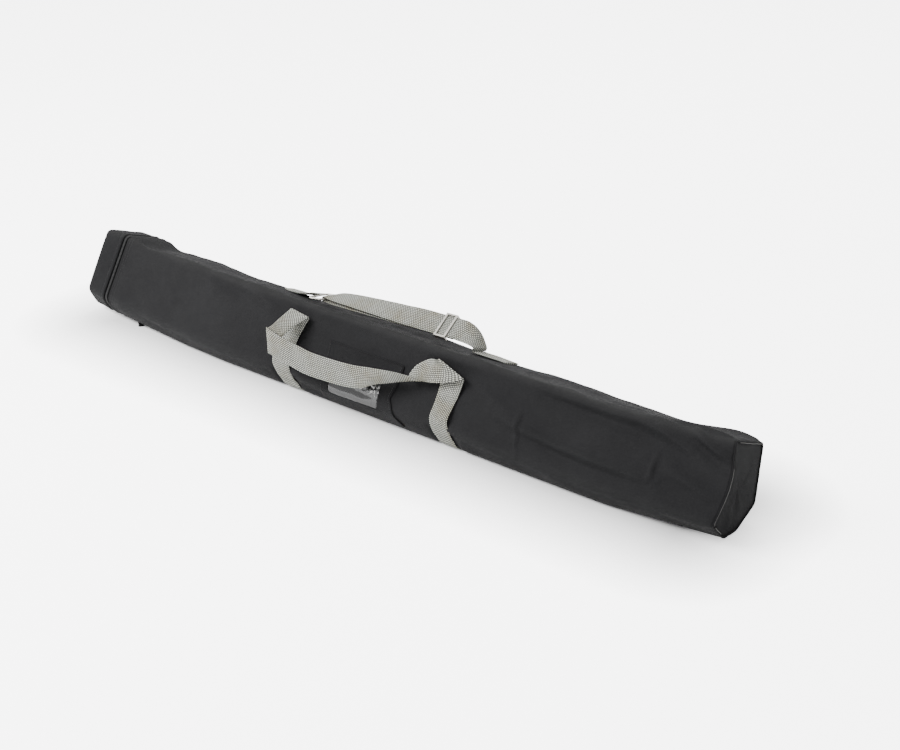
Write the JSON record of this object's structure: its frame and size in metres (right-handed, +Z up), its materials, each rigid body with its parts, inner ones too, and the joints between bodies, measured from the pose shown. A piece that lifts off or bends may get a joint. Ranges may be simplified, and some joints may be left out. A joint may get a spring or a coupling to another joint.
{
  "type": "soft carrying tube case",
  "caption": "Long soft padded cloth case of squarish section with a zip-off end cap, webbing carry handles, a short adjustable strap and a window pocket.",
  "frame": {"origin": "on the floor plane under the middle of the case, on its flat foot", "axes": "+X along the case towards its sewn end, the zip-off cap is at -X; +Y towards the back, away from the label pocket; +Z up from the floor the case lies on"},
  "size_m": [1.12, 0.2136, 0.1435],
  "materials": {
    "case_cloth": "matt woven cloth",
    "seam_binding": "woven binding tape",
    "lining": "matt foam-backed lining",
    "zip_tape": "woven tape",
    "zip_coil": "satin nylon coil",
    "zip_metal": "dull metal",
    "pull_cord": "flat black tape",
    "label_trim": "matt cloth with bound edge",
    "clear_film": "clear flexible film, glossy",
    "card_stock": "plain dark insert",
    "webbing": "coarse woven webbing",
    "bright_metal": "bright plated wire"
  },
  "bodies": {
    "case": {"front_panel": "case_cloth", "top_panel": "case_cloth", "back_panel": "case_cloth", "bottom_panel": "case_cloth", "end_panel": "case_cloth", "end_piping": "seam_binding", "front_liner": "lining", "top_liner": "lining", "back_liner": "lining", "bottom_liner": "lining", "end_liner": "lining", "zip_tape_body": "zip_tape", "zip_coil_body": "zip_coil", "hinge_strip": "case_cloth", "zip_stop": "zip_metal", "label_pocket": "label_trim", "label_window": "clear_film", "label_card": "card_stock", "web_under_left": "webbing", "web_under_right": "webbing", "strap_anchor_left": "webbing", "strap_anchor_right": "webbing", "shoulder_strap": "webbing", "strap_return": "webbing", "strap_ring": "bright_metal"},
    "end_cap": {"cap_band": "case_cloth", "cap_end_panel": "case_cloth", "cap_piping": "seam_binding", "cap_liner": "lining", "cap_end_liner": "lining", "zip_tape_cap": "zip_tape", "zip_coil_cap": "zip_coil"},
    "front_handle": {"front_handle": "webbing"},
    "back_handle": {"back_handle": "webbing"},
    "zip_slider": {"zip_slider": "zip_metal"},
    "zip_pull": {"zip_pull": "pull_cord"},
    "strap_adjuster": {"strap_adjuster": "bright_metal"}
  },
  "joints": [
    {"name": "end_cap_hinge", "type": "hinge", "parent": "case", "child": "end_cap", "pos_m": [-0.515, 0.1025, 0.06], "axis": [0, 0, -1], "range_deg": [0, 110]},
    {"name": "front_handle_swing", "type": "hinge", "parent": "case", "child": "front_handle", "pos_m": [0.009, -0.0405, 0.03], "axis": [1, 0, 0], "range_deg": [0, 60]},
    {"name": "back_handle_swing", "type": "hinge", "parent": "case", "child": "back_handle", "pos_m": [0.009, 0.06, 0.034], "axis": [1, 0, 0], "range_deg": [0, 50]},
    {"name": "zip_slider_slide", "type": "slide", "parent": "case", "child": "zip_slider", "axis": [0, -1, 0], "range_m": [0, 0.034]},
    {"name": "zip_pull_swivel", "type": "hinge", "parent": "zip_slider", "child": "zip_pull", "pos_m": [-0.515, 0.04, 0.0018], "axis": [0, 0, 1], "range_deg": [-100, 0]},
    {"name": "strap_adjuster_slide", "type": "slide", "parent": "case", "child": "strap_adjuster", "axis": [0.9994, 0, 0.0354], "range_m": [-0.02, 0]}
  ]
}
